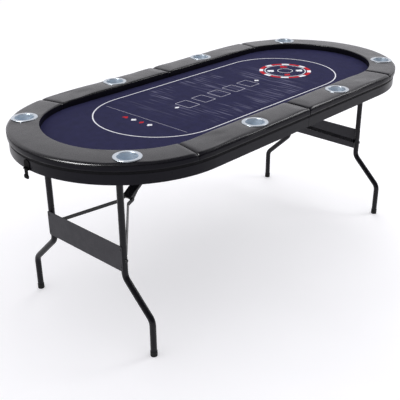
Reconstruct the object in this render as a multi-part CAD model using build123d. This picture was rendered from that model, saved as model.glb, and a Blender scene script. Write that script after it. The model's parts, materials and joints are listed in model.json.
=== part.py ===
from build123d import *
from math import acos, asin, atan2, cos, degrees, radians, sin, sqrt
import os

# Folding oval card table, millimetres.
# Frame: +X along the table, +Y across it, +Z up; the origin is on the floor under the middle.
# The left half (-X) and the right half (+X) are mirror images, hinged together at x = 0.

# ---- Table top ----
table_height = 762          # floor to the crown of the padded rail
half_width = 432            # middle line to the outside of the padded rail
straight_half = 528         # fold to the centre of the round end
fold_gap = 1.5              # between the two halves at the fold

rail_width = 116
rail_height = 29            # padded rail above the top board
rail_round = 8              # rounding of the rail's upper edges
rail_seam = 0.6             # gap between two neighbouring rail pads
seam_angle = 10.5           # how far round the end the side pads reach, degrees

board_thickness = 12
board_inset = 6             # board edge inside the rail's outer face
felt_thickness = 2
felt_gap = 0.3              # felt to rail

apron_inset = 5             # apron inside the rail's outer face
apron_height = 36
apron_wall = 8
fold_rail_wall = 16
fit_gap = 0.2               # loose wood-to-wood fit

# ---- Cup holders ----
cup_side_x = 264            # place of the side cups, from the fold
cup_end_angle = 47.4        # place of the end cups round the end, from the length axis, degrees
cup_inset = 56              # centre of a cup inside the rail's outer face
cup_rim_radius = 48
cup_rim_height = 2
cup_mouth_radius = 36.5     # outside of the cup at the rim
cup_foot_radius = 31        # outside of the cup at its floor
cup_depth = 62
cup_wall = 1.5
cup_clearance = 0.6         # cup to the rail and the board

# ---- Leg frames ----
leg_x = 760                 # fold to the plane of a standing leg frame
leg_tube_radius = 12
tube_wall = 1.5
leg_upper_y = 203           # middle line to the upper part of a leg
leg_foot_y = 336            # middle line to a foot
upper_bend_drop = 445       # board's underside down to the upper bend of a leg
lower_bend_z = 147.5
leg_bend_radius = 45
cut_margin = 20             # how far a cut runs past what it cuts
pivot_drop = 16             # board's underside down to the axis of the leg frame's pivot tube
pivot_tube_radius = 11
pivot_tube_reach = 226      # middle line to the end of the pivot tube
foot_cap_radius = 13.2
foot_cap_height = 22
foot_cap_floor = 6
running_gap = 0.05          # pin to its hole, on the radius

clip_y = 150
clip_width = 28
clip_wall = 3
clip_flange = 18

plate_height = 100
plate_drop = 317            # board's underside down to the plate's upper edge
plate_thickness = 3
plate_overhang = 6          # plate beyond the axis of each leg
rivet_radius = 2.5
rivet_head_radius = 4.5
rivet_head = 1.6
rivet_edge = 16             # rivet to the plate's upper and lower edge

# ---- Folding brace of each leg frame ----
brace_bolt_drop = 376       # board's underside down to the brace arm's bolt through the leg
knee_reach = 210            # leg frame's plane to the knee
knee_drop = 276             # board's underside down to the knee
link_hinge_drop = 22        # board's underside down to the link's hinge
brace_pin_radius = 4
arm_thickness = 3
arm_half_width = 8
arm_straight = 26           # flat end of an arm before its bend
face_gap = 0.3              # between flat faces that slide past each other
nut_thickness = 4
bolt_head = 3.5
bolt_head_radius = 7
rivet_cap = 2

link_half_width = 22
link_wall = 2
link_crown = 14             # link's web above its pin line
link_flange_depth = 11
link_ear_radius = 9
link_ear_length = 42
link_web_setback = 14       # web stops short of the hinge under the board

bracket_wall = 3
bracket_base = 2
bracket_screw_gap = 4       # ear to the nearest screw head
bracket_screw_pitch = 14
bracket_margin = 3          # base beyond the last screw head

# ---- Screws into the board ----
screw_radius = 2
screw_head_radius = 4
screw_head = 2.4
screw_depth = 8             # how far a screw goes into the board

# ---- Centre hinges ----
hinge_end_gap = 119         # middle of an outer hinge to the inside of the apron
hinge_width = 60
leaf_length = 30
leaf_thickness = 1.5
knuckle_radius = 4
hinge_pin_radius = 2
knuckles = 5
knuckle_gap = 0.3

# ---- Latch ----
latch_y = 27
latch_base_width = 32
latch_base_height = 34
latch_base_wall = 2.5
latch_drop = 4              # latch pivot above the apron's lower edge
latch_pin_radius = 1.5
latch_eye_radius = 3.5
latch_eye_gap = 0.3         # hook's eye to the base plate
hook_width = 17
hook_thickness = 3.5
hook_length = 34
hook_tip_width = 23
hook_tip_height = 14
latch_side_gap = 0.3
latch_ear_wall = 3
latch_base_rise = 1         # latch plate's lower edge above the apron's
hook_tip_step = 2           # how much thicker the hook's tip is than its shank
keeper_width = 26
keeper_height = 20
keeper_wall = 2
keeper_lip_wall = 3
keeper_rise = 4             # keeper's lower edge above the apron's

# ---- Levels and radii that follow from the sizes above ----
board_top = table_height - rail_height
board_bottom = board_top - board_thickness
apron_bottom = board_bottom - apron_height
inner_radius = half_width - rail_width
board_radius = half_width - board_inset
apron_radius = half_width - apron_inset
apron_inner = apron_radius - apron_wall
rail_middle = half_width - rail_width / 2
cup_line = half_width - cup_inset
fold_edge = fold_gap / 2
hinge_z = apron_bottom - knuckle_radius
hinge_reach = apron_inner - hinge_end_gap
hinge_places = [-hinge_reach, 0, hinge_reach]
pivot_z = board_bottom - pivot_drop
upper_bend_z = board_bottom - upper_bend_drop
plate_top_z = board_bottom - plate_drop
brace_bolt_z = board_bottom - brace_bolt_drop
knee_x = leg_x - knee_reach
knee_z = board_bottom - knee_drop
link_hinge_z = board_bottom - link_hinge_drop
plate_bottom_z = plate_top_z - plate_height
knuckle_pitch = hinge_width / knuckles
latch_pivot_out = latch_base_wall + latch_eye_radius + latch_eye_gap
keeper_lip = latch_pivot_out + hook_thickness / 2 + hook_tip_step

LEFT, RIGHT = -1, 1
SIDES = {"left": LEFT, "right": RIGHT}


# ---- Helpers ----
def block(x0, x1, y0, y1, z0, z1):
    """A box between two corners, given in any order."""
    size = (abs(x1 - x0), abs(y1 - y0), abs(z1 - z0))
    return Pos((x0 + x1) / 2, (y0 + y1) / 2, (z0 + z1) / 2) * Box(*size)


def rod_y(x, z, radius, y0, y1):
    """A round bar along Y."""
    return Pos(x, (y0 + y1) / 2, z) * Rot(90, 0, 0) * Cylinder(radius, abs(y1 - y0))


def rod_x(y, z, radius, x0, x1):
    """A round bar along X."""
    return Pos((x0 + x1) / 2, y, z) * Rot(0, 90, 0) * Cylinder(radius, abs(x1 - x0))


def rod_z(x, y, radius, z0, z1):
    """An upright round bar."""
    return Pos(x, y, (z0 + z1) / 2) * Cylinder(radius, abs(z1 - z0))


def joined(pieces):
    """One solid from overlapping or touching pieces."""
    whole = pieces[0]
    for piece in pieces[1:]:
        whole = whole + piece
    return whole


def mirrored(part, side):
    """The part as built for the right half, or its mirror image for the left half."""
    return part if side == RIGHT else part.mirror(Plane.YZ)


def end_half(radius, z0, z1, start=fold_edge):
    """The right half of an oval slab: a straight stretch and a half-round end."""
    straight = block(start, straight_half, -radius, radius, z0, z1)
    return straight + rod_z(straight_half, 0, radius, z0, z1)


def save(part, name):
    export_step(part, f"parts/{name}.step")


# ---- Table top: boards, felt, apron, rails, cups ----
def cup_places():
    """Names and centres of one half's cups."""
    end_x = straight_half + cup_line * cos(radians(cup_end_angle))
    end_y = cup_line * sin(radians(cup_end_angle))
    return {
        "side_near": (cup_side_x, -cup_line),
        "side_far": (cup_side_x, cup_line),
        "end_near": (end_x, -end_y),
        "end_far": (end_x, end_y),
    }


def cup_radius_at(z):
    """Outside radius of a cup at a height."""
    return cup_mouth_radius - (cup_mouth_radius - cup_foot_radius) * (table_height - z) / cup_depth


def cup_holes(radius, z0, z1):
    return joined([rod_z(x, y, radius, z0, z1) for x, y in cup_places().values()])


def cup_holder():
    """A tapered cup with a rounded rim, standing at the origin with its rim's seat at z = 0."""
    rim = Plane.XZ * make_face(
        Polyline(
            (cup_foot_radius - cup_wall, -cup_depth + cup_wall),
            (0, -cup_depth + cup_wall),
            (0, -cup_depth),
            (cup_foot_radius, -cup_depth),
            (cup_mouth_radius, 0),
            (cup_rim_radius, 0),
            (cup_rim_radius, cup_rim_height * 0.4),
            (cup_rim_radius - cup_rim_height, cup_rim_height),
            (cup_mouth_radius, cup_rim_height),
            (cup_mouth_radius - cup_wall, 0),
            close=True,
        )
    )
    return revolve(rim, Axis.Z)


def rail_section():
    """Cross-section of the rail, with x measured out from the rail's own centre of curvature."""
    low, high = board_top, table_height
    outline = Pos((inner_radius + half_width) / 2, (low + high) / 2) * Rectangle(rail_width, high - low)
    tops = outline.vertices().sort_by(Axis.Y)[-2:]
    return fillet(tops, rail_round)


def rail_arc(start, end):
    """Rail swept round the end from one angle to another, measured from the length axis."""
    swept = revolve(Plane.XZ * rail_section(), Axis.Z, end - start)
    return Pos(straight_half, 0, 0) * Rot(0, 0, start) * swept


def end_rail():
    """The pad round the end of the table."""
    trim = degrees(rail_seam / rail_middle)
    reach = 90 - seam_angle - trim
    return rail_arc(-reach, reach)


def side_rail(sign):
    """A straight pad from the fold to the end pad, on the far (+1) or near (-1) side."""
    length = straight_half - fold_edge
    straight = Pos(fold_edge, 0, 0) * extrude(Plane.YZ * rail_section(), length)
    bend = rail_arc(90 - seam_angle, 90)
    pad = straight + bend
    return pad if sign > 0 else pad.mirror(Plane.XZ)


def top_board():
    slab = end_half(board_radius, board_bottom, board_top)
    holes = cup_holes(cup_radius_at(board_top) + cup_clearance, board_bottom - 1, board_top + 1)
    return slab - holes - screw_holes()


def apron():
    """The upright band under the board, bent round the end and open at the fold."""
    outer = end_half(apron_radius, apron_bottom, board_bottom)
    tray = end_half(apron_inner, apron_bottom - 1, board_bottom + 1, start=0)
    return outer - tray


def fold_rail():
    """The cross rail that closes the apron at the fold."""
    reach = apron_inner - fit_gap
    rail = block(fold_edge, fold_edge + fold_rail_wall, -reach, reach, apron_bottom, board_bottom)
    for y in hinge_places:
        for x, screw_y in leaf_screws(y):
            rail = rail - rod_z(x, screw_y, screw_radius + running_gap, apron_bottom - 1, leaf_screw_top)
    return rail


# ---- Screws that hold the brackets under the board ----
def clip_screw_places():
    reach = pivot_tube_radius + running_gap + clip_wall + clip_flange / 2
    return [(leg_x + dx, side * clip_y) for dx in (-reach, reach) for side in (-1, 1)]


def bracket_screw_places():
    first = link_hinge_x - link_ear_radius - bracket_screw_gap - screw_head_radius
    return [(first, 0), (first - bracket_screw_pitch, 0)]


def board_screws():
    """Screw places with the thickness of what each one clamps to the board."""
    places = [(x, y, clip_wall) for x, y in clip_screw_places()]
    return places + [(x, y, bracket_base) for x, y in bracket_screw_places()]


def screw_holes():
    radius = screw_radius + running_gap
    top = board_bottom + screw_depth + 0.5
    return joined([rod_z(x, y, radius, board_bottom - 1, top) for x, y, clamped in board_screws()])


def screw(x, y, seat_z, depth):
    """A pan-head screw driven upwards, its head under seat_z."""
    shank = rod_z(x, y, screw_radius, seat_z - 0.5, seat_z + depth)
    head = rod_z(x, y, screw_head_radius, seat_z - screw_head, seat_z)
    head = fillet(head.edges().sort_by(Axis.Z)[0], screw_head * 0.4)
    slot = block(x - screw_head_radius, x + screw_head_radius, y - 0.5, y + 0.5,
                 seat_z - screw_head - 1, seat_z - screw_head + 0.8)
    return head + shank - slot


def underside_screws():
    """Screws of the pivot clips, the link bracket and the hinge leaves."""
    made = [screw(x, y, board_bottom - clamped, clamped + screw_depth) for x, y, clamped in board_screws()]
    for place in hinge_places:
        for x, y in leaf_screws(place):
            made.append(screw(x, y, apron_bottom - leaf_thickness, leaf_thickness + screw_depth))
    return joined(made)


# ---- Leg frame ----
def rivet_levels():
    """Heights of the crossbar's rivets."""
    return (plate_top_z - rivet_edge, plate_bottom_z + rivet_edge)


def leg_path(sign):
    """Centre line of one leg, from the pivot down to the foot."""
    return FilletPolyline(
        (leg_x, sign * leg_upper_y, pivot_z),
        (leg_x, sign * leg_upper_y, upper_bend_z),
        (leg_x, sign * leg_foot_y, lower_bend_z),
        (leg_x, sign * leg_foot_y, foot_cap_floor),
        radius=leg_bend_radius,
    )


def leg(sign):
    path = leg_path(sign)
    start = Plane(origin=path @ 0, z_dir=path % 0)
    tube = sweep(start * Circle(leg_tube_radius), path=path)
    bore = sweep(start * Circle(leg_tube_radius - tube_wall), path=path)
    across = (sign * leg_upper_y - cut_margin, sign * leg_upper_y + cut_margin)
    pivot = rod_y(leg_x, pivot_z, pivot_tube_radius, *across)
    bolt = rod_y(leg_x, brace_bolt_z, brace_pin_radius + running_gap, *across)
    made = tube - bore - pivot - bolt
    for z in rivet_levels():
        made = made - rod_x(sign * leg_upper_y, z, rivet_radius + running_gap, leg_x, leg_x + cut_margin)
    return made.solids().sort_by(SortBy.VOLUME)[-1]


def foot_cap(sign):
    """Plastic cap on the end of a leg."""
    outer = rod_z(leg_x, sign * leg_foot_y, foot_cap_radius, 0, foot_cap_height)
    outer = fillet(outer.edges().sort_by(Axis.Z)[0], 2.5)
    bore = rod_z(leg_x, sign * leg_foot_y, leg_tube_radius + running_gap, foot_cap_floor, foot_cap_height + 1)
    return outer - bore


def pivot_tube():
    """Tube across the top of the leg frame, closed by a cap at each end."""
    tube = rod_y(leg_x, pivot_z, pivot_tube_radius, -pivot_tube_reach, pivot_tube_reach)
    inside = pivot_tube_reach - tube_wall
    bore = rod_y(leg_x, pivot_z, pivot_tube_radius - tube_wall, -inside, inside)
    ends = tube.edges().filter_by(GeomType.CIRCLE)
    return fillet(ends, tube_wall * 0.6) - bore


def crossbar():
    """Flat plate across the outer side of the legs."""
    face = leg_x + leg_tube_radius
    reach = leg_upper_y + plate_overhang
    plate = block(face, face + plate_thickness, -reach, reach, plate_bottom_z, plate_top_z)
    plate = fillet(plate.edges().filter_by(Axis.X), 6)
    for sign in (-1, 1):
        for z in rivet_levels():
            plate = plate - rod_x(sign * leg_upper_y, z, rivet_radius + running_gap, face - 1, face + 10)
    return plate


def frame_fasteners():
    """Rivets of the crossbar and the bolts that the brace arms turn on."""
    made = []
    face = leg_x + leg_tube_radius + plate_thickness
    for sign in (-1, 1):
        for z in rivet_levels():
            y = sign * leg_upper_y
            shank = rod_x(y, z, rivet_radius, face - plate_thickness - 4, face + 0.2)
            head = rod_x(y, z, rivet_head_radius, face, face + rivet_head)
            head = fillet(head.edges().sort_by(Axis.X)[-1], rivet_head * 0.6)
            made.append(shank + head)
        out_face = leg_upper_y + leg_tube_radius
        nut_face = leg_upper_y - leg_tube_radius - 2 * face_gap - arm_thickness
        shank = rod_y(leg_x, brace_bolt_z, brace_pin_radius, sign * (nut_face - nut_thickness - 1.5),
                      sign * (out_face + 0.2))
        head = rod_y(leg_x, brace_bolt_z, bolt_head_radius, sign * out_face, sign * (out_face + bolt_head))
        outer = head.edges().filter_by(GeomType.CIRCLE).sort_by(Axis.Y)[-1 if sign > 0 else 0]
        head = fillet(outer, 1.6)
        nut_middle = Plane((leg_x, sign * nut_face, brace_bolt_z), z_dir=(0, -sign, 0))
        nut = extrude(nut_middle * RegularPolygon(bolt_head_radius, 6), nut_thickness)
        made.append(shank + head + nut)
    return joined(made)


def pivot_clips():
    """Two saddles that hold the pivot tube against the board."""
    made = []
    bore_radius = pivot_tube_radius + running_gap
    outer = bore_radius + clip_wall
    for sign in (-1, 1):
        y0, y1 = sign * clip_y - clip_width / 2, sign * clip_y + clip_width / 2
        saddle = rod_y(leg_x, pivot_z, outer, y0, y1)
        saddle = saddle + block(leg_x - outer, leg_x + outer, y0, y1, pivot_z, board_bottom)
        reach = outer + clip_flange
        saddle = saddle + block(leg_x - reach, leg_x + reach, y0, y1, board_bottom - clip_wall, board_bottom)
        saddle = saddle - rod_y(leg_x, pivot_z, bore_radius, y0 - 1, y1 + 1)
        for x, y in clip_screw_places():
            saddle = saddle - rod_z(x, y, screw_radius + running_gap, board_bottom - 10, board_bottom + 1)
        made.append(saddle)
    return joined(made)


# ---- Folding brace ----
def brace_sizes():
    """Lengths of the arm and the link, and the place of the link's hinge.

    With the legs folded flat, the knee lies between the pivot and the arm's bolt, so that the arm
    and the link both lie along the board.
    """
    crank = pivot_z - brace_bolt_z
    arm = sqrt((leg_x - knee_x) ** 2 + (knee_z - brace_bolt_z) ** 2)
    drop = pivot_z - link_hinge_z
    folded_knee = leg_x - crank + sqrt(arm ** 2 - drop ** 2)
    rise = link_hinge_z - knee_z
    hinge = (rise ** 2 + knee_x ** 2 - folded_knee ** 2) / (2 * (knee_x - folded_knee))
    link = sqrt((knee_x - hinge) ** 2 + rise ** 2)
    return arm, link, hinge, folded_knee


arm_length, link_length, link_hinge_x, folded_knee_x = brace_sizes()


def strip_outline(points, thickness):
    """A bent strip seen edge-on: the centre line's points set off to both sides, with mitred bends."""
    sides = {1: [], -1: []}
    for index, (x, y) in enumerate(points):
        before = points[max(index - 1, 0)]
        after = points[min(index + 1, len(points) - 1)]
        incoming = atan2(y - before[1], x - before[0]) if index else None
        outgoing = atan2(after[1] - y, after[0] - x) if index < len(points) - 1 else None
        first = outgoing if incoming is None else incoming
        last = incoming if outgoing is None else outgoing
        half_turn = (last - first) / 2
        normal = (first + last) / 2 + radians(90)
        reach = thickness / 2 / cos(half_turn)
        for side in sides:
            sides[side].append((x + side * reach * cos(normal), y + side * reach * sin(normal)))
    return Polyline(*sides[1], *reversed(sides[-1]), close=True)


def brace_arm(sign):
    """Flat strip from the bolt on a leg to the knee, where it lies against the link's outside."""
    leg_end = leg_upper_y - leg_tube_radius - face_gap - arm_thickness / 2
    knee_end = link_half_width + face_gap + arm_thickness / 2
    centre = [
        (-arm_half_width, leg_end),
        (arm_straight, leg_end),
        (arm_length - arm_straight, knee_end),
        (arm_length + arm_half_width, knee_end),
    ]
    strip = extrude(make_face(strip_outline(centre, arm_thickness)), arm_half_width, both=True)
    wide = Plane.XZ * (Pos(arm_length / 2, 0) * SlotCenterToCenter(arm_length, 2 * arm_half_width))
    strip = strip & extrude(wide, half_width, both=True)
    strip = strip - rod_y(0, 0, brace_pin_radius + running_gap, 0, half_width)
    strip = strip if sign > 0 else strip.mirror(Plane.XZ)
    slope = degrees(atan2(knee_z - brace_bolt_z, leg_x - knee_x))
    placed = Pos(leg_x, 0, brace_bolt_z) * Rot(0, slope + 180, 0) * strip
    return placed + knee_rivet(sign)


def knee_rivet(sign):
    """Rivet in an arm's knee end; its inner end meets the link's knee pin face to face."""
    inner = link_half_width + face_gap
    outer = inner + arm_thickness
    shank = rod_y(knee_x, knee_z, brace_pin_radius + running_gap, sign * inner, sign * outer)
    head = rod_y(knee_x, knee_z, bolt_head_radius, sign * outer, sign * (outer + rivet_cap))
    rim = head.edges().filter_by(GeomType.CIRCLE).sort_by(Axis.Y)[-1 if sign > 0 else 0]
    return shank + fillet(rim, rivet_cap * 0.6)


def brace_link():
    """Inverted channel from the knee up to its hinge under the board."""
    top = link_crown
    low = link_crown - link_flange_depth
    length = link_length
    setback = length - link_web_setback
    ear = link_ear_radius
    knee_ear = [
        (-ear, 0),
        (-ear * 0.7, top),
        (link_ear_length, top),
        (link_ear_length, low),
        (ear * 0.5, -ear * 0.8),
    ]
    far_ear = [
        (length - link_ear_length, low),
        (length - link_ear_length, top),
        (setback, top),
        (length + ear * 0.6, ear * 0.8),
        (length + ear, 0),
        (length - ear * 0.5, -ear * 0.8),
    ]
    body = [(-ear * 0.7, low), (-ear * 0.7, top), (setback, top), (setback, low)]
    side = make_face(Polyline(*body, close=True))
    side = side + make_face(Polyline(*knee_ear, close=True)) + make_face(Polyline(*far_ear, close=True))
    side = side + Circle(ear) + Pos(length, 0) * Circle(ear)
    pin_hole = Circle(brace_pin_radius + running_gap)
    side = side - pin_hole - Pos(length, 0) * pin_hole
    flange = extrude(Plane.XZ * side, link_wall)
    outer = Pos(0, link_half_width, 0) * flange
    inner = outer.mirror(Plane.XZ)
    web = block(-ear * 0.7, setback, -link_half_width, link_half_width, top - link_wall, top)
    channel = web + outer + inner
    crown_edges = [
        edge for edge in channel.edges().filter_by(Axis.X)
        if abs(edge.center().Z - top) < 0.01 and abs(abs(edge.center().Y) - link_half_width) < 0.01
    ]
    channel = fillet(crown_edges, link_wall * 0.9)
    slope = degrees(atan2(link_hinge_z - knee_z, knee_x - link_hinge_x))
    # Built with +X from the knee to the hinge; turned over the top so that it runs towards the fold.
    return Pos(knee_x, 0, knee_z) * Rot(0, 0, 180) * Rot(0, -slope, 0) * channel


def knee_pin():
    """Pin through the link's knee ears, ending flush with them."""
    return rod_y(knee_x, knee_z, brace_pin_radius, -link_half_width, link_half_width)


def link_bracket():
    """U-shaped bracket screwed under the board; the link's ears turn outside it."""
    reach = link_half_width - link_wall - face_gap
    ear = link_ear_radius
    base_end = bracket_screw_places()[-1][0] - screw_head_radius - bracket_margin
    made = block(base_end, link_hinge_x + ear, -reach, reach, board_bottom - bracket_base, board_bottom)
    for sign in (-1, 1):
        y0, y1 = sign * (reach - bracket_wall), sign * reach
        made = made + rod_y(link_hinge_x, link_hinge_z, ear, y0, y1)
        made = made + block(link_hinge_x - ear, link_hinge_x + ear, y0, y1, link_hinge_z, board_bottom)
    made = made - rod_y(link_hinge_x, link_hinge_z, brace_pin_radius + running_gap, -reach - 1, reach + 1)
    for x, y in bracket_screw_places():
        made = made - rod_z(x, y, screw_radius + running_gap, board_bottom - 10, board_bottom + 1)
    return made


def link_pin():
    """Headed pin of the link's hinge under the board."""
    inner = link_half_width + face_gap
    pin = rod_y(link_hinge_x, link_hinge_z, brace_pin_radius, -inner - 0.5, inner + 0.5)
    for sign in (-1, 1):
        head = rod_y(link_hinge_x, link_hinge_z, bolt_head_radius, sign * inner, sign * (inner + rivet_cap))
        pin = pin + head
    return pin


# ---- Centre hinges ----
leaf_screw_top = apron_bottom + screw_depth + 0.5


def leaf_screws(y):
    """Screw places of one leaf on the right half."""
    x = fold_edge + fold_rail_wall / 2
    return [(x, y - hinge_width / 3), (x, y + hinge_width / 3)]


def hinge_leaf(y, own):
    """One leaf of a centre hinge on the right half; own tells which knuckles it carries."""
    x0, x1 = knuckle_radius + knuckle_gap, leaf_length
    low = apron_bottom - leaf_thickness
    leaf = block(x0, x1 - knuckle_radius, y - hinge_width / 2, y + hinge_width / 2, low, apron_bottom)
    pin_hole = rod_y(0, hinge_z, hinge_pin_radius + running_gap, y - hinge_width, y + hinge_width)
    for index in range(knuckles):
        if index % 2 != own:
            continue
        y0 = y - hinge_width / 2 + index * knuckle_pitch + knuckle_gap / 2
        y1 = y0 + knuckle_pitch - knuckle_gap
        knuckle = rod_y(0, hinge_z, knuckle_radius, y0, y1) + block(0, x0 + 0.5, y0, y1, low, apron_bottom)
        leaf = leaf + knuckle
    leaf = leaf - pin_hole
    for x, screw_y in leaf_screws(y):
        leaf = leaf - rod_z(x, screw_y, screw_radius + running_gap, low - 1, apron_bottom + 1)
    return leaf


def hinge_leaves(own):
    return joined([hinge_leaf(y, own) for y in hinge_places])


def hinge_pins():
    reach = hinge_width / 2
    return joined([rod_y(0, hinge_z, hinge_pin_radius, y - reach, y + reach) for y in hinge_places])


# ---- Latch at the left end ----
def on_apron(part, side):
    """Place a piece, built upright with its back at x = 0 and facing +X, on the apron's round end."""
    turn = degrees(asin(latch_y / apron_radius))
    placed = Pos(straight_half, 0, 0) * Rot(0, 0, turn) * Pos(apron_radius, 0, 0) * part
    return mirrored(placed, side)


latch_pivot_z = apron_bottom + latch_drop


def latch_base():
    """Plate with two ears and the pin that the hook hangs on."""
    half = latch_base_width / 2
    low = apron_bottom + latch_base_rise
    plate = block(0, latch_base_wall, -half, half, low, low + latch_base_height)
    plate = fillet(plate.edges().filter_by(Axis.X).sort_by(Axis.Z)[-2:], half * 0.8)
    ear_y = hook_width / 2 + latch_side_gap
    for sign in (-1, 1):
        y0, y1 = sign * ear_y, sign * (ear_y + latch_ear_wall)
        ear = rod_y(latch_pivot_out, latch_pivot_z, latch_eye_radius, y0, y1)
        ear = ear + block(0, latch_pivot_out, y0, y1, low, latch_pivot_z + latch_eye_radius)
        plate = plate + ear
    reach = ear_y + latch_ear_wall
    pin = rod_y(latch_pivot_out, latch_pivot_z, latch_pin_radius, -reach, reach)
    return on_apron(plate + pin, LEFT)


def latch_hook():
    """Hanging hook with a broad tip."""
    eye = rod_y(latch_pivot_out, latch_pivot_z, latch_eye_radius, -hook_width / 2, hook_width / 2)
    x0 = latch_pivot_out - hook_thickness / 2
    x1 = x0 + hook_thickness
    low = latch_pivot_z - hook_length
    shank = block(x0, x1, -hook_width / 2, hook_width / 2, low, latch_pivot_z)
    tip = block(x0, x1 + hook_tip_step, -hook_tip_width / 2, hook_tip_width / 2, low, low + hook_tip_height)
    tip = fillet(tip.edges().filter_by(Axis.X), hook_tip_height * 0.38)
    bore_radius = latch_pin_radius + running_gap
    bore = rod_y(latch_pivot_out, latch_pivot_z, bore_radius, -hook_width, hook_width)
    return on_apron(eye + shank + tip - bore, LEFT)


def latch_keeper():
    """Plate on the right end with a lip that the hook's tip catches when the table is folded."""
    half = keeper_width / 2
    low = apron_bottom + keeper_rise
    plate = block(0, keeper_wall, -half, half, low, low + keeper_height)
    top = low + keeper_height
    lip = block(0, keeper_lip, -half, half, top - keeper_lip_wall, top)
    return on_apron(plate + lip, RIGHT)


# ---- Writing the pieces ----
os.makedirs("parts", exist_ok=True)

shared = {
    "top_board": top_board(),
    "felt": end_half(inner_radius - felt_gap, board_top, board_top + felt_thickness),
    "apron": apron(),
    "fold_rail": fold_rail(),
    "pivot_clips": pivot_clips(),
    "underside_screws": underside_screws(),
    "link_bracket": link_bracket(),
    "link_pin": link_pin(),
    "brace_link": brace_link(),
    "knee_pin": knee_pin(),
    "pivot_tube": pivot_tube(),
    "crossbar": crossbar(),
    "frame_fasteners": frame_fasteners(),
}

holes = cup_holes(cup_mouth_radius + cup_clearance, board_top - 1, table_height + 1)
shared["rail_end"] = end_rail() - holes
for label, sign in (("near", -1), ("far", 1)):
    shared[f"rail_{label}"] = side_rail(sign) - holes
    shared[f"leg_{label}"] = leg(sign)
    shared[f"foot_cap_{label}"] = foot_cap(sign)
    shared[f"brace_arm_{label}"] = brace_arm(sign)

for label, (x, y) in cup_places().items():
    shared[f"cup_{label}"] = Pos(x, y, table_height) * cup_holder()

for side_name, side in SIDES.items():
    for name, part in shared.items():
        save(mirrored(part, side), f"{name}_{side_name}")
    own = 0 if side == LEFT else 1
    save(mirrored(hinge_leaves(own), side), f"hinge_leaves_{side_name}")

save(hinge_pins(), "hinge_pins")
save(latch_base(), "latch_base")
save(latch_hook(), "latch_hook")
save(latch_keeper(), "latch_keeper")
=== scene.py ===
"""Looks of a folding oval card table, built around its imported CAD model.

Metres; +X along the table, +Y across it, +Z up, with the origin on the floor under its middle.
The left half (-X) and the right half (+X) mirror each other and fold together at x = 0.
"""

import json
import math

import bmesh
import bpy
from mathutils import Matrix, Vector, noise


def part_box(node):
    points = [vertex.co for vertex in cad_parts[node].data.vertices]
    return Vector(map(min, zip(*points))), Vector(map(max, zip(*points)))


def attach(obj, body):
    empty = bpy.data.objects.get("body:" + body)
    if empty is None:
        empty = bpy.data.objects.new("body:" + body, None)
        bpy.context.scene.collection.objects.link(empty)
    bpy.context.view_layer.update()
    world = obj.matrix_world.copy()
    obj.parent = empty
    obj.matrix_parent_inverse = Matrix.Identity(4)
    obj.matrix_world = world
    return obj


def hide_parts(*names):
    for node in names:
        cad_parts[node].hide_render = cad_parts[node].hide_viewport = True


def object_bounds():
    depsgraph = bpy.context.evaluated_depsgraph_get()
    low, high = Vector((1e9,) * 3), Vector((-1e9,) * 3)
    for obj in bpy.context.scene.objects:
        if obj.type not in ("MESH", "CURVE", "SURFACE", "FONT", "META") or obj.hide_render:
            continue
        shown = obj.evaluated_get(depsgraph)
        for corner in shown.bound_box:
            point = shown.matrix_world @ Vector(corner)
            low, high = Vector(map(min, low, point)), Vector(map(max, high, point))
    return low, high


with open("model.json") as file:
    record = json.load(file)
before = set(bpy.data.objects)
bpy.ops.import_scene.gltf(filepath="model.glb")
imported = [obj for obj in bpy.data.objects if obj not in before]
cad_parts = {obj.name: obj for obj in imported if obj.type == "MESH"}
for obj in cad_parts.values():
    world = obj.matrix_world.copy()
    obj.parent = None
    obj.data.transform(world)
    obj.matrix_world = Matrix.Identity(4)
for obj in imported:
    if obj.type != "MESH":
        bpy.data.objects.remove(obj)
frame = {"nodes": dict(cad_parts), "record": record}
cad_low, cad_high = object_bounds()

MM = 0.001
SIDES = {"left": -1, "right": 1}
PLACES = ("side_near", "side_far", "end_near", "end_far")

# ---- Sizes taken from the CAD model ----
half_width = cad_high.y
end_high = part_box("rail_end_right")[1]
straight_half = end_high.x - half_width         # fold to the centre of the round end
felt_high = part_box("felt_right")[1]
felt_top = felt_high.z
rail_low, rail_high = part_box("rail_near_right")
rail_base, rail_crown = rail_low.z, rail_high.z
rail_inner = felt_high.y + 0.3 * MM
rail_middle = (rail_inner + half_width) / 2
rail_width = half_width - rail_inner
fold_edge = rail_low.x                          # half of the gap between the two halves
seam_angle = math.acos(end_high.y / half_width)  # where the end pad stops, from the width axis


def cup_centre(place, side):
    low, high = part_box(f"cup_{place}_{side}")
    return Vector(((low.x + high.x) / 2, (low.y + high.y) / 2, 0))


# ---- Materials ----
MIX_A, MIX_B, MIX_RESULT = 6, 7, 2     # the colour sockets of a Mix node

thread_pitch = 0.9 * MM          # of the playing cloth
streak_fade_x = (0.40, 0.24)     # from the middle of the table: no streaks beyond, full strength within
streak_fade_y = (0.235, 0.21)
streak_strength = 0.85


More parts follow.
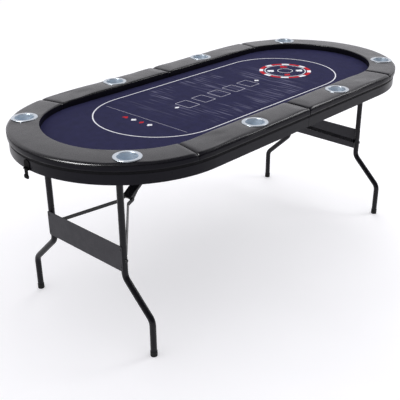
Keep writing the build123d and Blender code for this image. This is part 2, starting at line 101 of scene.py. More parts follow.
class Shader:
    """A material with its Principled shader and short calls for the nodes that feed it."""

    def __init__(self, name):
        self.material = bpy.data.materials.new(name)
        self.material.use_nodes = True
        self.tree = self.material.node_tree
        self.surface = self.tree.nodes["Principled BSDF"]
        self.coords = self.tree.nodes.new("ShaderNodeTexCoord").outputs["Object"]
        self.bumps = None

    def set(self, **values):
        """Set the shader's own sockets; an underscore stands for a space."""
        for key, value in values.items():
            self.surface.inputs[key.replace("_", " ")].default_value = value

    def link(self, source, target):
        self.tree.links.new(source, target)

    def noise(self, scale, detail, density=(1, 1, 1)):
        """Cloudy noise; an axis with a higher density has finer marks along it."""
        mapping = self.tree.nodes.new("ShaderNodeMapping")
        mapping.inputs["Scale"].default_value = density
        self.link(self.coords, mapping.inputs["Vector"])
        node = self.tree.nodes.new("ShaderNodeTexNoise")
        node.inputs["Scale"].default_value = scale
        node.inputs["Detail"].default_value = detail
        self.link(mapping.outputs["Vector"], node.inputs["Vector"])
        return node.outputs["Fac"]

    def cells(self, scale):
        """Small round cells, as in a pebbled grain."""
        node = self.tree.nodes.new("ShaderNodeTexVoronoi")
        node.inputs["Scale"].default_value = scale
        self.link(self.coords, node.inputs["Vector"])
        return node.outputs["Distance"]

    def wave(self, scale, axis):
        """Parallel waves along one axis."""
        node = self.tree.nodes.new("ShaderNodeTexWave")
        node.bands_direction = axis
        node.inputs["Scale"].default_value = scale
        self.link(self.coords, node.inputs["Vector"])
        return node.outputs["Fac"]

    def math(self, operation, a, b=0.0):
        node = self.tree.nodes.new("ShaderNodeMath")
        node.operation = operation
        for socket, value in zip(node.inputs, (a, b)):
            if isinstance(value, (int, float)):
                socket.default_value = value
            else:
                self.link(value, socket)
        return node.outputs["Value"]

    def axis(self, name):
        """The place along one axis, in metres."""
        node = self.tree.nodes.new("ShaderNodeSeparateXYZ")
        self.link(self.coords, node.inputs["Vector"])
        return node.outputs[name]

    def between(self, source, low, high, to_low=0.0, to_high=1.0):
        """Turn one range of values into another, and hold to its ends."""
        node = self.tree.nodes.new("ShaderNodeMapRange")
        for key, value in (("From Min", low), ("From Max", high), ("To Min", to_low), ("To Max", to_high)):
            node.inputs[key].default_value = value
        self.link(source, node.inputs["Value"])
        return node.outputs["Result"]

    def mix(self, factor, first, second):
        """A colour between two, which are colours or sockets."""
        node = self.tree.nodes.new("ShaderNodeMix")
        node.data_type = "RGBA"
        self.link(factor, node.inputs["Factor"])
        for socket, value in ((node.inputs[MIX_A], first), (node.inputs[MIX_B], second)):
            if isinstance(value, (tuple, list)):
                socket.default_value = (*value, 1)
            else:
                self.link(value, socket)
        return node.outputs[MIX_RESULT]

    def mottle(self, source, colour, darkest, lightest, low=0.3, high=0.7):
        """A colour whose brightness follows a noise."""
        return self.mix(self.between(source, low, high), lighter(colour, darkest), lighter(colour, lightest))

    def colour(self, source):
        self.link(source, self.surface.inputs["Base Color"])

    def rough(self, source, low, high):
        self.link(self.between(source, 0.3, 0.7, low, high), self.surface.inputs["Roughness"])

    def bump(self, height, distance, strength):
        """Add a relief of this depth, on top of the earlier ones."""
        node = self.tree.nodes.new("ShaderNodeBump")
        node.inputs["Strength"].default_value = strength
        node.inputs["Distance"].default_value = distance
        self.link(height, node.inputs["Height"])
        if self.bumps is not None:
            self.link(self.bumps, node.inputs["Normal"])
        self.bumps = node.outputs["Normal"]
        self.link(self.bumps, self.surface.inputs["Normal"])


def lighter(colour, factor):
    return tuple(min(1.0, part * factor) for part in colour)


def vinyl(name, colour, gloss, shine, pulled=False):
    """Coated cloth with a fine pebbled grain and soft dents; pulled round a side, it waves along it."""
    shader = Shader(name)
    shader.colour(shader.mottle(shader.noise(9, 4), colour, 0.85, 1.2))
    shader.rough(shader.noise(40, 4), gloss - 0.03, gloss + 0.05)
    shader.bump(shader.noise(14, 2), 0.5 * MM, 0.15)
    if pulled:
        shader.bump(shader.noise(4, 4, (1, 1, 22)), 0.9 * MM, 0.3)
    shader.bump(shader.cells(620), 0.04 * MM, 0.07)
    shader.set(Specular_IOR_Level=shine)
    return shader.material


def powder_coat(name, colour, gloss, shine):
    """Sprayed paint with a faint orange peel."""
    shader = Shader(name)
    shader.colour(shader.mottle(shader.noise(240, 4), colour, 0.8, 1.25))
    shader.rough(shader.noise(35, 4), gloss - 0.05, gloss + 0.08)
    shader.bump(shader.noise(420, 3), 0.06 * MM, 0.25)
    shader.set(Specular_IOR_Level=shine)
    return shader.material


def brushed_metal(name, colour, gloss, density, bare=1.0):
    """Metal with fine lines along one way; bare says how little of it is dulled."""
    shader = Shader(name)
    lines = shader.noise(60, 6, density)
    shader.set(Metallic=bare)
    shader.colour(shader.mottle(lines, colour, 0.85, 1.1))
    shader.rough(lines, gloss - 0.08, gloss + 0.12)
    shader.bump(lines, 0.05 * MM, 0.2)
    return shader.material


def rubber(name, colour):
    """Dull moulded rubber with a grey bloom."""
    shader = Shader(name)
    bloom = shader.noise(80, 5)
    shader.colour(shader.mottle(bloom, colour, 0.8, 1.8, 0.35, 0.75))
    shader.rough(bloom, 0.6, 0.8)
    shader.bump(shader.noise(700, 2), 0.1 * MM, 0.3)
    shader.set(Specular_IOR_Level=0.25)
    return shader.material


def board_wood(name, colour):
    """Black-stained fibreboard."""
    shader = Shader(name)
    grain = shader.noise(18, 6, (1, 12, 12))
    shader.colour(shader.mottle(grain, colour, 0.7, 1.5))
    shader.rough(shader.noise(90, 4), 0.5, 0.68)
    shader.bump(grain, 0.2 * MM, 0.3)
    shader.bump(shader.noise(900, 2), 0.08 * MM, 0.3)
    shader.set(Specular_IOR_Level=0.08)
    return shader.material


def weave(shader, pitch, depth):
    """Crossed threads of a cloth, this far apart."""
    scale = 1 / pitch / 6.28     # at this scale one wave takes in two threads
    shader.bump(shader.math("MULTIPLY", shader.wave(scale, "X"), shader.wave(scale, "Y")), depth, 0.35)


def playing_cloth(name, colour, streak):
    """Smooth napped cloth, printed with faint broken streaks across the middle of the table."""
    shader = Shader(name)
    streaks = shader.between(shader.noise(1, 2, (140, 6, 1)), 0.54, 0.68)
    breaks = shader.between(shader.noise(1, 1, (7, 6, 1)), 0.42, 0.58)
    along = shader.between(shader.math("ABSOLUTE", shader.axis("X")), *streak_fade_x)
    across = shader.between(shader.math("ABSOLUTE", shader.axis("Y")), *streak_fade_y)
    middle = shader.math("MULTIPLY", along, across)
    marks = shader.math("MULTIPLY", shader.math("MULTIPLY", streaks, breaks), middle)
    marks = shader.math("MULTIPLY", marks, streak_strength)
    pile = shader.mottle(shader.noise(30, 5), colour, 0.88, 1.12)
    shader.colour(shader.mix(marks, pile, streak))
    shader.rough(shader.noise(300, 3), 0.78, 0.9)
    shader.set(Sheen_Weight=0.03, Sheen_Roughness=0.5, Specular_IOR_Level=0.08)
    weave(shader, thread_pitch, 0.15 * MM)
    shader.bump(shader.noise(1100, 3), 0.12 * MM, 0.4)
    return shader.material


def printed_cloth(name, colour):
    """Ink on the playing cloth."""
    shader = Shader(name)
    wear = shader.noise(260, 5)
    shader.colour(shader.mottle(wear, colour, 0.8, 1.0, 0.35, 0.6))
    shader.rough(wear, 0.72, 0.86)
    shader.set(Specular_IOR_Level=0.08)
    weave(shader, thread_pitch, 0.12 * MM)
    return shader.material


VINYL = vinyl("rail vinyl", (0.0075, 0.0070, 0.0105), 0.26, 0.46)
# A darker, duller copy of the rail vinyl for the pad's side band below the seam: painted shade, so that the
# sides look darker than the top.
SHADED_BAND_VINYL = vinyl("rail band vinyl painted shade", (0.0048, 0.0045, 0.0075), 0.30, 0.10, pulled=True)
# A darker, duller copy of the rail vinyl for the apron: painted shade, so that the table's vertical sides
# look darker than the rail's top.
SHADED_APRON_VINYL = vinyl("apron vinyl painted shade", (0.0055, 0.0052, 0.0085), 0.30, 0.12, pulled=True)
FELT = playing_cloth("playing cloth", (0.0160, 0.0160, 0.0655), (0.20, 0.20, 0.30))
WHITE_INK = printed_cloth("white ink", (0.94, 0.95, 1.0))
PALE_INK = printed_cloth("pale ink", (0.56, 0.56, 0.66))
RED_INK = printed_cloth("red ink", (0.60, 0.02, 0.03))
CUP_RIM = brushed_metal("cup rim steel", (0.60, 0.65, 0.70), 0.34, (14, 14, 1))
CUP_STEEL = brushed_metal("cup steel", (0.50, 0.58, 0.66), 0.50, (1, 1, 14), bare=0.5)
TUBE_PAINT = powder_coat("black powder coat", (0.0048, 0.0045, 0.0070), 0.24, 0.22)
BRACE_PAINT = powder_coat("brace powder coat", (0.0048, 0.0045, 0.0070), 0.26, 0.45)
LATCH_PAINT = powder_coat("latch paint", (0.0040, 0.0040, 0.0042), 0.36, 0.015)
PLATE_PAINT = powder_coat("grey plate paint", (0.036, 0.035, 0.041), 0.46, 0.22)
ZINC = brushed_metal("zinc plate", (0.30, 0.30, 0.30), 0.38, (1, 20, 1))
CAP_RUBBER = rubber("cap rubber", (0.008, 0.008, 0.008))
STRIP_RUBBER = rubber("strip rubber", (0.010, 0.010, 0.011))
BOARD = board_wood("stained board", (0.0050, 0.0048, 0.0060))

SLOT_MATERIALS = {
    "vinyl": VINYL,
    "felt": FELT,
    "board": BOARD,
    "apron_wrap": SHADED_APRON_VINYL,
    "fold_wood": BOARD,
    "cup_metal": CUP_STEEL,
    "tube_black": TUBE_PAINT,
    "plate_black": PLATE_PAINT,
    "brace_black": BRACE_PAINT,
    "zinc": ZINC,
    "cap_rubber": CAP_RUBBER,
    "latch_black": LATCH_PAINT,
}


def dress_cad_nodes():
    """Give every CAD node the material of its slot."""
    for part in frame["record"]["subparts"]:
        node = frame["nodes"][part["node"]]
        node.data.materials.clear()
        node.data.materials.append(SLOT_MATERIALS[part["material_slot"]])


# ---- Mesh helpers ----
def add_object(name, data):
    thing = bpy.data.objects.new(name, data)
    bpy.context.scene.collection.objects.link(thing)
    return thing


def add_mesh(name, points, faces, material, smooth=True):
    mesh = bpy.data.meshes.new(name)
    mesh.from_pydata([tuple(p) for p in points], [], faces)
    mesh.update()
    mesh.polygons.foreach_set("use_smooth", [smooth] * len(mesh.polygons))
    mesh.materials.append(material)
    return add_object(name, mesh)


def add_slab(name, first, second, material, smooth=True):
    """A closed solid between two outlines with the same number of points."""
    count = len(first)
    faces = [tuple(reversed(range(count))), tuple(range(count, 2 * count))]
    faces += [(i, (i + 1) % count, count + (i + 1) % count, count + i) for i in range(count)]
    return add_mesh(name, first + second, faces, material, smooth)


def face_outwards(mesh, weld=0.0):
    """Turn every face outwards, once points closer than weld are one."""
    clean = bmesh.new()
    clean.from_mesh(mesh)
    if weld:
        bmesh.ops.remove_doubles(clean, verts=clean.verts, dist=weld)
    bmesh.ops.recalc_face_normals(clean, faces=clean.faces)
    clean.to_mesh(mesh)
    clean.free()


def arc(centre, radius, start, end, steps):
    """Points of an arc from one angle to another, in degrees, both ends included."""
    cx, cy = centre
    turns = [math.radians(start + (end - start) * i / steps) for i in range(steps + 1)]
    return [(cx + radius * math.cos(t), cy + radius * math.sin(t)) for t in turns]


def smoothstep(value):
    value = max(0.0, min(1.0, value))
    return value * value * (3 - 2 * value)


def rounding(share):
    """How far a round edge has fallen, from 1 at its end to 0 where it meets the flat."""
    return 1 - math.sqrt(max(0.0, 1 - (1 - min(1.0, share)) ** 2))


# ---- Padded rail ----
pad_roll = (16 * MM, 13 * MM)     # rounding of the outer upper edge, inwards and downwards
pad_lip = 5 * MM                  # rounding of the inner upper edge
pad_fall = 1.2 * MM               # how much lower the pad is where its outer rounding starts
pad_bow = 0.7 * MM                # how far the foam crowns the pad before it is inflated
pad_end = 20 * MM                 # length of the roll where two pads meet
pad_end_drop = 10 * MM            # how far that roll falls
pad_end_side = 2 * MM             # rounding of the pad's ends, seen from above
pad_step = 7 * MM                 # length of one mesh step along the rail
seam_drop = 10 * MM               # sewn edge of the top panel, below the crown
seam_depth = 0.9 * MM
glued_height = 9 * MM             # the cover is stuck to the wood up to here
cloth_frames = 14
pad_swell = 1.4 * MM              # most that inflation may move a point
pad_smoothing = 5                 # how often each point then takes the mean move of its neighbours
ripple_height = 0.45 * MM         # tension marks in the cover
ripple_density = 11               # of them to a metre
ripple_start = 12 * MM            # above the board; they have their full height at twice that
cup_flange = 48 * MM
cup_hole = 37.4 * MM
flange_bite = 0.3 * MM            # how far a cup's flange presses into the pad
dimple_rise = 4 * MM              # how much higher the pad may be beyond the dimple round the flange
dimple_width = 16 * MM
dimple_reach = 30 * MM            # beyond this distance from the flange the pad is left alone


def pad_section():
    """Closed cross-section of the rail: (distance out from its middle, height above the board)."""
    half = rail_width / 2 - 0.2 * MM
    height = rail_crown - rail_base
    shoulder = height - pad_fall
    seam = height - seam_drop
    outer = [
        (half - 0.5 * MM, 0.0),
        (half, 5 * MM),
        (half, seam - 4 * MM),
        (half - 0.1 * MM, seam - 1.5 * MM),
        (half - seam_depth, seam - 0.4 * MM),
        (half - 0.1 * MM, seam + 0.6 * MM),
    ]
    inwards, downwards = pad_roll
    for x, y in arc((0, 0), 1, 4, 88, 10):
        outer.append((half - inwards + inwards * x, shoulder - downwards + downwards * y))
    inner = [(-x, y) for x, y in reversed(arc((half - pad_lip, height - pad_lip), pad_lip, 0, 90, 6))]
    inner += [(-half, 12 * MM), (-half, 5 * MM), (-half + 0.5 * MM, 0.0)]
    first, last = half - inwards, pad_lip - half
    steps = 14
    top = []
    for index in range(1, steps):
        share = index / steps
        rise = pad_fall * math.sin(share * math.pi / 2)
        top.append((first + (last - first) * share, shoulder + rise + pad_bow * math.sin(share * math.pi)))
    base = [(x * half, 0.0) for x in (-0.66, -0.33, 0.0, 0.33, 0.66)]
    return outer + top + inner + base


def rail_route(kind):
    """Stations along one pad of the right half: (place on the rail's middle line, outward direction)."""
    if kind == "end":
        reach = math.pi / 2 - seam_angle
        count = round(2 * reach * rail_middle / pad_step)
        angles = [-reach + 2 * reach * i / count for i in range(count + 1)]
    else:
        count = round(seam_angle * rail_middle / pad_step)
        angles = [-math.pi / 2 + seam_angle * (i + 1) / count for i in range(count)]
    bend = []
    for angle in angles:
        out = Vector((math.cos(angle), math.sin(angle), 0))
        bend.append((Vector((straight_half, 0, 0)) + out * rail_middle, out))
    if kind == "end":
        return bend
    out = Vector((0, -1, 0))
    count = round((straight_half - fold_edge) / pad_step)
    straight = []
    for index in range(count + 1):
        x = fold_edge + (straight_half - fold_edge) * index / count
        straight.append((Vector((x, -rail_middle, 0)), out))
    return straight + bend


def extra_stations(route):
    """Put closer stations at both ends, where the pad is rounded; each also tells how far in it is."""
    ends = []
    for first, second in ((route[0], route[1]), (route[-1], route[-2])):
        length = (second[0] - first[0]).length
        near = []
        for share in (0.0, 0.05, 0.15, 0.3, 0.55, 1.0):
            step = share * pad_end / length
            place = first[0].lerp(second[0], step)
            out = first[1].lerp(second[1], step).normalized()
            near.append((place, out, share * pad_end))
        ends.append(near)
    first, last = route[0][0], route[-1][0]
    body = [(place, out, pad_end) for place, out in route
            if min((place - first).length, (place - last).length) > 1.2 * pad_end]
    return ends[0] + body + ends[1][::-1]


def pad_mesh(name, kind):
    """One pad of the right half as a closed grid of section loops."""
    section = pad_section()
    middle_height = (rail_crown - rail_base) / 2
    points = []
    for place, out, inward in extra_stations(rail_route(kind)):
        inset = pad_end_side * rounding(inward / pad_end_side)
        drop = pad_end_drop * rounding(inward / pad_end)
        for x, y in section:
            across = x - math.copysign(min(inset, abs(x)), x)
            up = max(0.0, y - drop * smoothstep((y - 4 * MM) / middle_height))
            point = place + out * across
            point.z = rail_base + up
            points.append(point)
    width = len(section)
    rows = len(points) // width
    faces = []
    for row in range(rows - 1):
        for col in range(width):
            a, b = row * width + col, row * width + (col + 1) % width
            faces.append((a, a + width, b + width, b))
    faces.append(tuple(range(width)))
    faces.append(tuple(reversed(range((rows - 1) * width, rows * width))))
    piece = add_mesh(name, points, faces, VINYL)
    face_outwards(piece.data)
    # Faces below the seam take the darker copy of the vinyl, which paints shade onto the pad's side.
    piece.data.materials.append(SHADED_BAND_VINYL)
    for face in piece.data.polygons:
        face.material_index = int(face.center.z < rail_crown - seam_drop)
    return piece


def end_distance(point):
    """How far a point of the right half is from the nearest place where two pads meet."""
    seam = Vector((math.sin(seam_angle), math.cos(seam_angle)))
    aside = (point.x - straight_half) * seam.y - abs(point.y) * seam.x
    return min(abs(aside), max(0.0, point.x - fold_edge))


def inflate(piece, centres):
    """Let the foam push the cover out between its glued edges, with Blender's cloth and its pressure."""
    start = [v.co.copy() for v in piece.data.vertices]
    held = []
    for vertex in piece.data.vertices:
        under_flange = any((vertex.co.xy - centre.xy).length < cup_flange for centre in centres)
        if under_flange or vertex.co.z < rail_base + glued_height:
            held.append(vertex.index)
    group = piece.vertex_groups.new(name="held")
    group.add(held, 1.0, "ADD")
    cover = piece.modifiers.new("cover", "CLOTH")
    settings = cover.settings
    settings.quality = 6
    settings.mass = 0.3
    settings.tension_stiffness = 25
    settings.compression_stiffness = 25
    settings.shear_stiffness = 12
    settings.bending_stiffness = 10
    settings.use_pressure = True
    settings.uniform_pressure_force = 2.5
    settings.vertex_group_mass = group.name
    settings.effector_weights.gravity = 0
    cover.point_cache.frame_end = cloth_frames
    for number in range(1, cloth_frames + 1):
        bpy.context.scene.frame_set(number)
    shaped = piece.evaluated_get(bpy.context.evaluated_depsgraph_get()).to_mesh()
    moved = [v.co.copy() for v in shaped.vertices]
    piece.modifiers.remove(cover)
    bpy.context.scene.frame_set(1)
    steps = [new - old for old, new in zip(start, moved)]
    steps = [step * min(1.0, pad_swell / max(step.length, 1e-9)) for step in steps]
    for _ in range(pad_smoothing):
        total = [step.copy() for step in steps]
        count = [1] * len(steps)
        for edge in piece.data.edges:
            a, b = edge.vertices
            total[a] += steps[b]
            total[b] += steps[a]
            count[a] += 1
            count[b] += 1
        steps = [whole / number for whole, number in zip(total, count)]
    steps = [step * smoothstep(end_distance(old) / pad_end) for old, step in zip(start, steps)]
    for vertex, old, step in zip(piece.data.vertices, start, steps):
        vertex.co = old + step


def settle(piece, centres, seed):
    """Press the pad down under the cup flanges and give its cover small tension marks."""
    for vertex in piece.data.vertices:
        point = vertex.co
        share = smoothstep((point.z - rail_base - ripple_start) / ripple_start)
        ripple = noise.noise(Vector((point.x * ripple_density, point.y * ripple_density, seed)))
        point.z += ripple_height * ripple * share
        for centre in centres:
            distance = (point.xy - centre.xy).length
            rise = dimple_rise * smoothstep((distance - cup_flange) / dimple_width)
            if distance < cup_flange + dimple_reach:
                point.z = min(point.z, rail_crown - flange_bite + rise)


def cut_cups(piece, centres):
    """Cut the holes that the cups hang in."""
    for centre in centres:
        ring = [(centre.x + x, centre.y + y) for x, y in arc((0, 0), cup_hole, 0, 360, 72)[:-1]]
        low, high = [[(x, y, z) for x, y in ring] for z in (rail_base - 0.02, rail_crown + 0.02)]
        cutter = add_slab("cup_cutter", low, high, VINYL)
        cut = piece.modifiers.new("cut", "BOOLEAN")
        cut.operation = "DIFFERENCE"
        cut.solver = "EXACT"
        cut.object = cutter
        result = bpy.data.meshes.new_from_object(piece.evaluated_get(bpy.context.evaluated_depsgraph_get()))
        piece.modifiers.clear()
        piece.data = result
        bpy.data.objects.remove(cutter)


def copy_mirrored(piece, name, axis):
    """A copy of a piece on the other side of the table, X or Y."""
    mesh = piece.data.copy()
    scale = Vector((-1, 1, 1)) if axis == "X" else Vector((1, -1, 1))
    mesh.transform(Matrix.Diagonal(scale).to_4x4())
    mesh.flip_normals()
    return add_object(name, mesh)


def build_rail():
    """Six pads: the end and the two sides of each half."""
    cups = {"end": ("end_near", "end_far"), "near": ("side_near",), "far": ("side_far",)}
    shaped = {}
    for kind in ("end", "near"):
        centres = [cup_centre(place, "right") for place in cups[kind]]
        piece = pad_mesh(f"model_{kind}", kind)
        inflate(piece, centres)
        shaped[kind] = piece
    shaped["far"] = copy_mirrored(shaped["near"], "model_far", "Y")
    for number, (kind, model) in enumerate(shaped.items()):
        for side in SIDES:
            if side == "right":
                pad = add_object(f"rail_pad_{kind}_right", model.data.copy())
            else:
                pad = copy_mirrored(model, f"rail_pad_{kind}_left", "X")
            centres = [cup_centre(place, side) for place in cups[kind]]
            settle(pad, centres, 10 * number + SIDES[side])
            cut_cups(pad, centres)
            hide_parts(f"rail_{kind}_{side}")
            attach(pad, f"{side}_half")
    for model in shaped.values():
        bpy.data.objects.remove(model)


# ---- Cup holders ----
cup_wall = 1.2 * MM
cup_mouth = 36.3 * MM       # outside of the cup under its flange
cup_foot = 31 * MM          # outside of the cup at its floor
cup_turns = 96


def cup_section(low):
    """Half-section of a cup with a rolled rim: (radius, height), from the middle of its floor outwards."""
    seat, wall, mouth, foot = rail_crown, cup_wall, cup_mouth, cup_foot
    floor = low + wall
    inside = [(0.0, floor), (foot * 0.6, floor)]
    inside += arc((foot - wall - 3 * MM, floor + 3 * MM), 3 * MM, -90, -5, 5)
    inside += [(mouth - wall - 0.8 * MM, seat - 6 * MM)]
    rim = [(x, y) for x, y in reversed(arc((mouth + 0.6 * MM, seat + 0.1 * MM), 1.9 * MM, 90, 180, 6))]
    outer = arc((cup_flange - 1.4 * MM, seat + 0.55 * MM), 1.4 * MM, 80, -60, 8)
    under = [(mouth + 1 * MM, seat + 0.1 * MM), (mouth, seat - 2 * MM)]
    under += arc((foot - 3 * MM, low + 3 * MM), 3 * MM, 0, -90, 5)
    return inside + rim + outer + under + [(0.0, low)]


def build_cup(place, side):
    node = f"cup_{place}_{side}"
    centre = cup_centre(place, side)
    section = cup_section(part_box(node)[0].z)
    points, faces = [], []
    for radius, height in section:
        for turn in range(cup_turns):
            angle = 2 * math.pi * turn / cup_turns
            points.append((centre.x + radius * math.cos(angle), centre.y + radius * math.sin(angle), height))
    for row in range(len(section) - 1):
        for turn in range(cup_turns):
            a, b = row * cup_turns + turn, row * cup_turns + (turn + 1) % cup_turns
            faces.append((a, b, b + cup_turns, a + cup_turns))
    cup = add_mesh(f"cup_holder_{place}_{side}", points, faces, CUP_STEEL)
    cup.data.materials.append(CUP_RIM)
    for face in cup.data.polygons:
        face.material_index = int(face.center.z > rail_crown - 2 * MM)
    face_outwards(cup.data, weld=0.01 * MM)
    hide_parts(node)
    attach(cup, f"{side}_half")


# ---- Prints on the playing cloth ----
ink_height = felt_top + 0.25 * MM
track_straight = 366 * MM      # fold to the centre of the printed line's round end
track_radius = 255 * MM
track_width = 4.8 * MM
card_pitch = 93.5 * MM
card_size = (60 * MM, 78 * MM)
card_corner = 5 * MM
card_line = 2.8 * MM
card_count = 5
first_card_x = -219 * MM
row_end = 0.62 * card_pitch    # outermost card to the symbol beside it
suit_row_x = -485 * MM
suit_pitch = 42.7 * MM
suit_size = 24 * MM
suit_level = 0.02 * MM         # a symbol's shapes lie this far above each other
cross_line_x = -448 * MM
cross_line_reach = 217 * MM
cross_line_width = 1.6 * MM
medal_x = 420 * MM
medal_radius = 116 * MM
medal_band = 17 * MM           # its red and white border
medal_blocks = 8
medal_red = 27                 # degrees of each block that are red
medal_suit_radius = 0.56 * medal_radius
medal_suit_size = 38 * MM


def print_piece(name, points, faces, material, side):
    """A flat print on the cloth of one half."""
    piece = add_mesh(name, [(x, y, ink_height) for x, y in points], faces, material, smooth=False)
    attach(piece, f"{side}_half")
    return piece


def ribbon(name, route, width, material, side, closed=False):
    """A printed line of constant width along a route of flat points."""
    count = len(route)
    points = []
    for index, (x, y) in enumerate(route):
        before = route[(index - 1) % count] if closed or index else route[0]
        after = route[(index + 1) % count] if closed or index < count - 1 else route[-1]
        along = Vector((after[0] - before[0], after[1] - before[1])).normalized()
        out = Vector((along.y, -along.x)) * width / 2
        points += [(x + out.x, y + out.y), (x - out.x, y - out.y)]
    last = count if closed else count - 1
    faces = []
    for index in range(last):
        a, b = 2 * index, 2 * ((index + 1) % count)
        faces.append((a, b, b + 1, a + 1))
    return print_piece(name, points, faces, material, side)


def rounded_rectangle(centre, size, radius):
    """Outline of a rectangle with rounded corners."""
    half_x, half_y = size[0] / 2 - radius, size[1] / 2 - radius
    outline = []
    for sx, sy, start in ((1, 1, 0), (-1, 1, 90), (-1, -1, 180), (1, -1, 270)):
        outline += arc((centre[0] + sx * half_x, centre[1] + sy * half_y), radius, start, start + 90, 6)
    return outline


def heart(size):
    turns = [2 * math.pi * i / 40 for i in range(40)]
    scale = size / 32
    outline = []
    for t in turns:
        height = 13 * math.cos(t) - 5 * math.cos(2 * t) - 2 * math.cos(3 * t) - math.cos(4 * t)
        outline.append((16 * math.sin(t) ** 3 * scale, height * scale))
    return [outline]


def stem(size):
    return [(0, -0.1 * size), (-0.2 * size, -0.5 * size), (0.2 * size, -0.5 * size)]


def spade(size):
    leaf = [(x * 0.92, -y * 0.92 + 0.06 * size) for x, y in heart(size)[0]]
    return [leaf, stem(size)]


def diamond(size):
    corners = [(0, 0.52), (0.38, 0), (0, -0.52), (-0.38, 0)]
    return [[(x * size, y * size) for x, y in corners]]


def club(size):
    middles = ((0, 0.24), (-0.23, -0.08), (0.23, -0.08))
    leaves = [arc((x * size, y * size), 0.225 * size, 0, 360, 24)[:-1] for x, y in middles]
    return leaves + [stem(size)]


def print_shapes(name, shapes, centre, turn, material, side):
    """Filled outlines, turned and placed on the cloth, each a hair above the last where they overlap."""
    cos, sin = math.cos(turn), math.sin(turn)
    points, faces = [], []
    for shape in shapes:
        start = len(points)
        for x, y in shape:
            points.append((centre[0] + x * cos - y * sin, centre[1] + x * sin + y * cos))
        faces.append(tuple(range(start, len(points))))
    piece = print_piece(name, points, faces, material, side)
    for level, face in enumerate(piece.data.polygons):
        for index in face.vertices:
            piece.data.vertices[index].co.z += level * suit_level
    clean = bmesh.new()
    clean.from_mesh(piece.data)
    bmesh.ops.triangulate(clean, faces=clean.faces)
    bmesh.ops.recalc_face_normals(clean, faces=clean.faces)
    for face in clean.faces:
        if face.normal.z < 0:
            face.normal_flip()
    clean.to_mesh(piece.data)
    clean.free()


def build_prints():
    """The border line, the row of cards, the suit symbols and the medallion."""
    for side, sign in SIDES.items():
        bend = arc((track_straight, 0), track_radius, -90, 90, 64)
        route = [(fold_edge, -track_radius), *bend, (fold_edge, track_radius)]
        route = [(sign * x, y) for x, y in route]
        ribbon(f"print_track_{side}", route, track_width, WHITE_INK, side)
    for index in range(card_count):
        centre = (first_card_x + index * card_pitch, 0)
        side = "left" if centre[0] < 0 else "right"
        outline = rounded_rectangle(centre, card_size, card_corner)
        ribbon(f"print_card_{index + 1}", outline, card_line, PALE_INK, side, closed=True)
    suits = (
        ("heart", heart, RED_INK),
        ("spade", spade, WHITE_INK),
        ("diamond", diamond, RED_INK),
        ("club", club, WHITE_INK),
    )
    for index, (name, shape, ink) in enumerate(suits):
        centre = (suit_row_x, (1.5 - index) * suit_pitch)
        print_shapes(f"print_{name}", shape(suit_size), centre, math.pi / 2, ink, "left")
    last_card_x = first_card_x + (card_count - 1) * card_pitch
    row_ends = (
        ("diamond", diamond, first_card_x - row_end, "left"),
        ("club", club, last_card_x + row_end, "right"),
    )
    for name, shape, x, side in row_ends:
        print_shapes(f"print_row_{name}", shape(suit_size), (x, 0), math.pi / 2, WHITE_INK, side)
    line = [(cross_line_x, -cross_line_reach), (cross_line_x, cross_line_reach)]
    ribbon("print_cross_line", line, cross_line_width, PALE_INK, "left")
    build_medal(suits)


def build_medal(suits):
    """A round medallion with a border of red and white blocks and the four suits, on the right half."""
    centre = (medal_x, 0)
    edge = medal_radius - medal_band / 2
    block = 360 // medal_blocks
    for index in range(medal_blocks):
        start = block * index
        change = start + medal_red
        red, white = arc(centre, edge, start, change, 8), arc(centre, edge, change, start + block, 6)
        ribbon(f"print_medal_red_{index + 1}", red, medal_band, RED_INK, "right")
        ribbon(f"print_medal_white_{index + 1}", white, medal_band, WHITE_INK, "right")
    for name, share, width in (("line", 0.80, 4 * MM), ("inner", 0.30, 3 * MM)):
        outline = arc(centre, medal_radius * share - width / 2, 0, 360, 72)[:-1]
        ribbon(f"print_medal_{name}", outline, width, WHITE_INK, "right", closed=True)
    for index, (name, shape, ink) in enumerate(suits):
        angle = math.pi / 4 + index * math.pi / 2
        place = (
            centre[0] + medal_suit_radius * math.cos(angle),
            centre[1] + medal_suit_radius * math.sin(angle),
        )
        print_shapes(f"print_medal_{name}", shape(medal_suit_size), place, -math.pi / 2, ink, "right")


# ---- Strip at the fold ----
strip_thickness = 1.4 * MM
strip_corner = 4 * MM
strip_inset = (1 * MM, 2 * MM)     # inside the wood's faces, along Y and along Z


def build_fold_strip():
    """A rubber strip on the left half's wooden faces at the fold, so that no light shows through."""
    wood_low, wood_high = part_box("fold_rail_left")
    board_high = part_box("top_board_left")[1]
    inset_y, inset_z = strip_inset
    size = (2 * (board_high.y - inset_y), board_high.z - wood_low.z - 2 * inset_z)
    outline = rounded_rectangle((0, (wood_low.z + board_high.z) / 2), size, strip_corner)
    back, front = [[(x, y, z) for y, z in outline] for x in (wood_high.x, wood_high.x + strip_thickness)]
    strip = add_slab("fold_strip", back, front, STRIP_RUBBER, smooth=False)
    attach(strip, "left_half")


# ---- Stage ----
camera_place = Vector((-2.1799, -1.8919, 1.6349))
camera_yaw, camera_pitch = math.radians(41.88), math.radians(-25.92)
camera_lens = 65.13
camera_shift = (-0.0318, 0.0026)
backdrop_turn = math.radians(40)     # the white backdrop stands behind the table, this far round from +X
backdrop_top = (0.66, 0.80)          # a mirrored ray rises this steeply where the backdrop fades out
backdrop_sides = (0.2, 0.6)          # and points this much towards it where it fades in
room_glow = 0.10                     # what glossy surfaces mirror elsewhere
room_light = 0.9                     # even light that falls on the object
floor_glow = 0.26                    # what lifts the lit floor to white for the camera and for mirrors
floor_reach = 15


def build_camera():
    data = bpy.data.cameras.new("camera")
    data.lens = camera_lens
    data.sensor_width = 36
    data.shift_x, data.shift_y = camera_shift
    camera = add_object("camera", data)
    camera.location = camera_place
    camera.rotation_euler = (math.pi / 2 + camera_pitch, 0, camera_yaw - math.pi / 2)
    bpy.context.scene.camera = camera


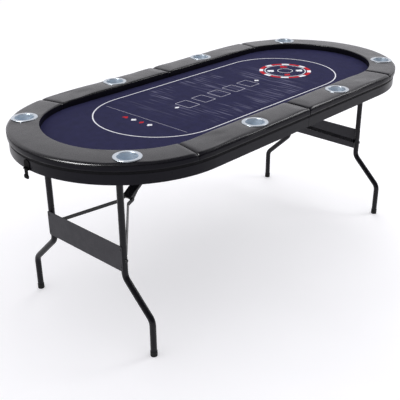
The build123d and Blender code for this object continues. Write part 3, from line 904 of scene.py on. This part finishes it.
def seen_directly(tree):
    """1 for a camera, mirror or glass ray, 0 for the light that falls on the object."""
    path = tree.nodes.new("ShaderNodeLightPath")
    total = None
    for ray in ("Is Camera Ray", "Is Glossy Ray", "Is Transmission Ray"):
        if total is None:
            total = path.outputs[ray]
            continue
        pick = tree.nodes.new("ShaderNodeMath")
        pick.operation = "MAXIMUM"
        tree.links.new(total, pick.inputs[0])
        tree.links.new(path.outputs[ray], pick.inputs[1])
        total = pick.outputs["Value"]
    return total


def build_world():
    """A white backdrop behind the table in a dim room to mirror, and an even light to fall on it."""
    world = bpy.data.worlds.new("studio")
    bpy.context.scene.world = world
    world.use_nodes = True
    tree = world.node_tree

    def ranged(source, low, high, to_low, to_high):
        """A smooth passage from one value to another."""
        node = tree.nodes.new("ShaderNodeMapRange")
        node.interpolation_type = "SMOOTHSTEP"
        for key, value in (("From Min", low), ("From Max", high), ("To Min", to_low), ("To Max", to_high)):
            node.inputs[key].default_value = value
        tree.links.new(source, node.inputs["Value"])
        return node.outputs["Result"]

    def chosen(factor, first, second):
        """The first value where the factor is 0, the second where it is 1."""
        node = tree.nodes.new("ShaderNodeMix")
        tree.links.new(factor, node.inputs["Factor"])
        for socket, value in ((node.inputs["A"], first), (node.inputs["B"], second)):
            if isinstance(value, float):
                socket.default_value = value
            else:
                tree.links.new(value, socket)
        return node.outputs["Result"]

    ray = tree.nodes.new("ShaderNodeLightPath").outputs
    direction = tree.nodes.new("ShaderNodeTexCoord").outputs["Generated"]
    parts = tree.nodes.new("ShaderNodeSeparateXYZ")
    tree.links.new(direction, parts.inputs["Vector"])
    facing = tree.nodes.new("ShaderNodeVectorMath")
    facing.operation = "DOT_PRODUCT"
    facing.inputs[1].default_value = (math.cos(backdrop_turn), math.sin(backdrop_turn), 0)
    tree.links.new(direction, facing.inputs[0])
    below = ranged(parts.outputs["Z"], *backdrop_top, 1.0, 0.0)
    before = ranged(facing.outputs["Value"], *backdrop_sides, 0.0, 1.0)
    backdrop = tree.nodes.new("ShaderNodeMath")
    backdrop.operation = "MULTIPLY"
    tree.links.new(below, backdrop.inputs[0])
    tree.links.new(before, backdrop.inputs[1])
    mirrored = chosen(backdrop.outputs["Value"], room_glow, 1.0)
    strength = chosen(ray["Is Glossy Ray"], chosen(ray["Is Camera Ray"], room_light, 1.0), mirrored)
    shine = tree.nodes["Background"]
    shine.inputs["Color"].default_value = (0.975, 0.965, 1.0, 1)
    tree.links.new(strength, shine.inputs["Strength"])


def build_floor():
    """A pale floor that keeps the table's shadow."""
    shader = Shader("studio floor")
    clouds = shader.between(shader.noise(2, 3), 0.3, 0.7)
    shader.colour(shader.mix(clouds, (0.86, 0.86, 0.87), (0.9, 0.9, 0.91)))
    shader.set(Roughness=0.9, Specular_IOR_Level=0.1)
    tree = shader.tree
    glow = tree.nodes.new("ShaderNodeEmission")
    glow.inputs["Color"].default_value = (0.985, 0.985, 1.0, 1)
    strength = tree.nodes.new("ShaderNodeMath")
    strength.operation = "MULTIPLY"
    strength.inputs[1].default_value = floor_glow
    tree.links.new(seen_directly(tree), strength.inputs[0])
    tree.links.new(strength.outputs["Value"], glow.inputs["Strength"])
    total = tree.nodes.new("ShaderNodeAddShader")
    tree.links.new(shader.surface.outputs["BSDF"], total.inputs[0])
    tree.links.new(glow.outputs["Emission"], total.inputs[1])
    tree.links.new(total.outputs["Shader"], tree.nodes["Material Output"].inputs["Surface"])
    corners = [(x * floor_reach, y * floor_reach, 0) for x, y in ((-1, -1), (1, -1), (1, 1), (-1, 1))]
    floor = add_mesh("studio_floor", corners, [(0, 1, 2, 3)], shader.material, smooth=False)


def add_lamp(name, place, target, size, power, lights=True, shines=True):
    """A square soft lamp; lights tells whether it lights surfaces, shines whether they mirror it."""
    data = bpy.data.lights.new(name, "AREA")
    data.shape = "SQUARE"
    data.size = size
    data.energy = power
    lamp = add_object(name, data)
    lamp.visible_diffuse = lights
    lamp.visible_glossy = shines
    lamp.location = place
    lamp.rotation_euler = (Vector(target) - Vector(place)).to_track_quat("-Z", "Y").to_euler()


dress_cad_nodes()
build_rail()
for side_name in SIDES:
    for cup_place in PLACES:
        build_cup(cup_place, side_name)
build_prints()
build_fold_strip()

build_camera()
build_world()
build_floor()
add_lamp("edge lamp", (-2.59, 0.29, 2.58), (-0.94, -0.15, 0.75), 1.1, 130, lights=False)
add_lamp("side lamp", (2.4, -1.5, 2.4), (0.2, -0.3, 0.7), 0.8, 14)
add_lamp("far lamp", (2.2, 1.6, 2.6), (0.7, 0, 0.7), 1.6, 17, shines=False)
bpy.context.scene.view_settings.view_transform = "Standard"
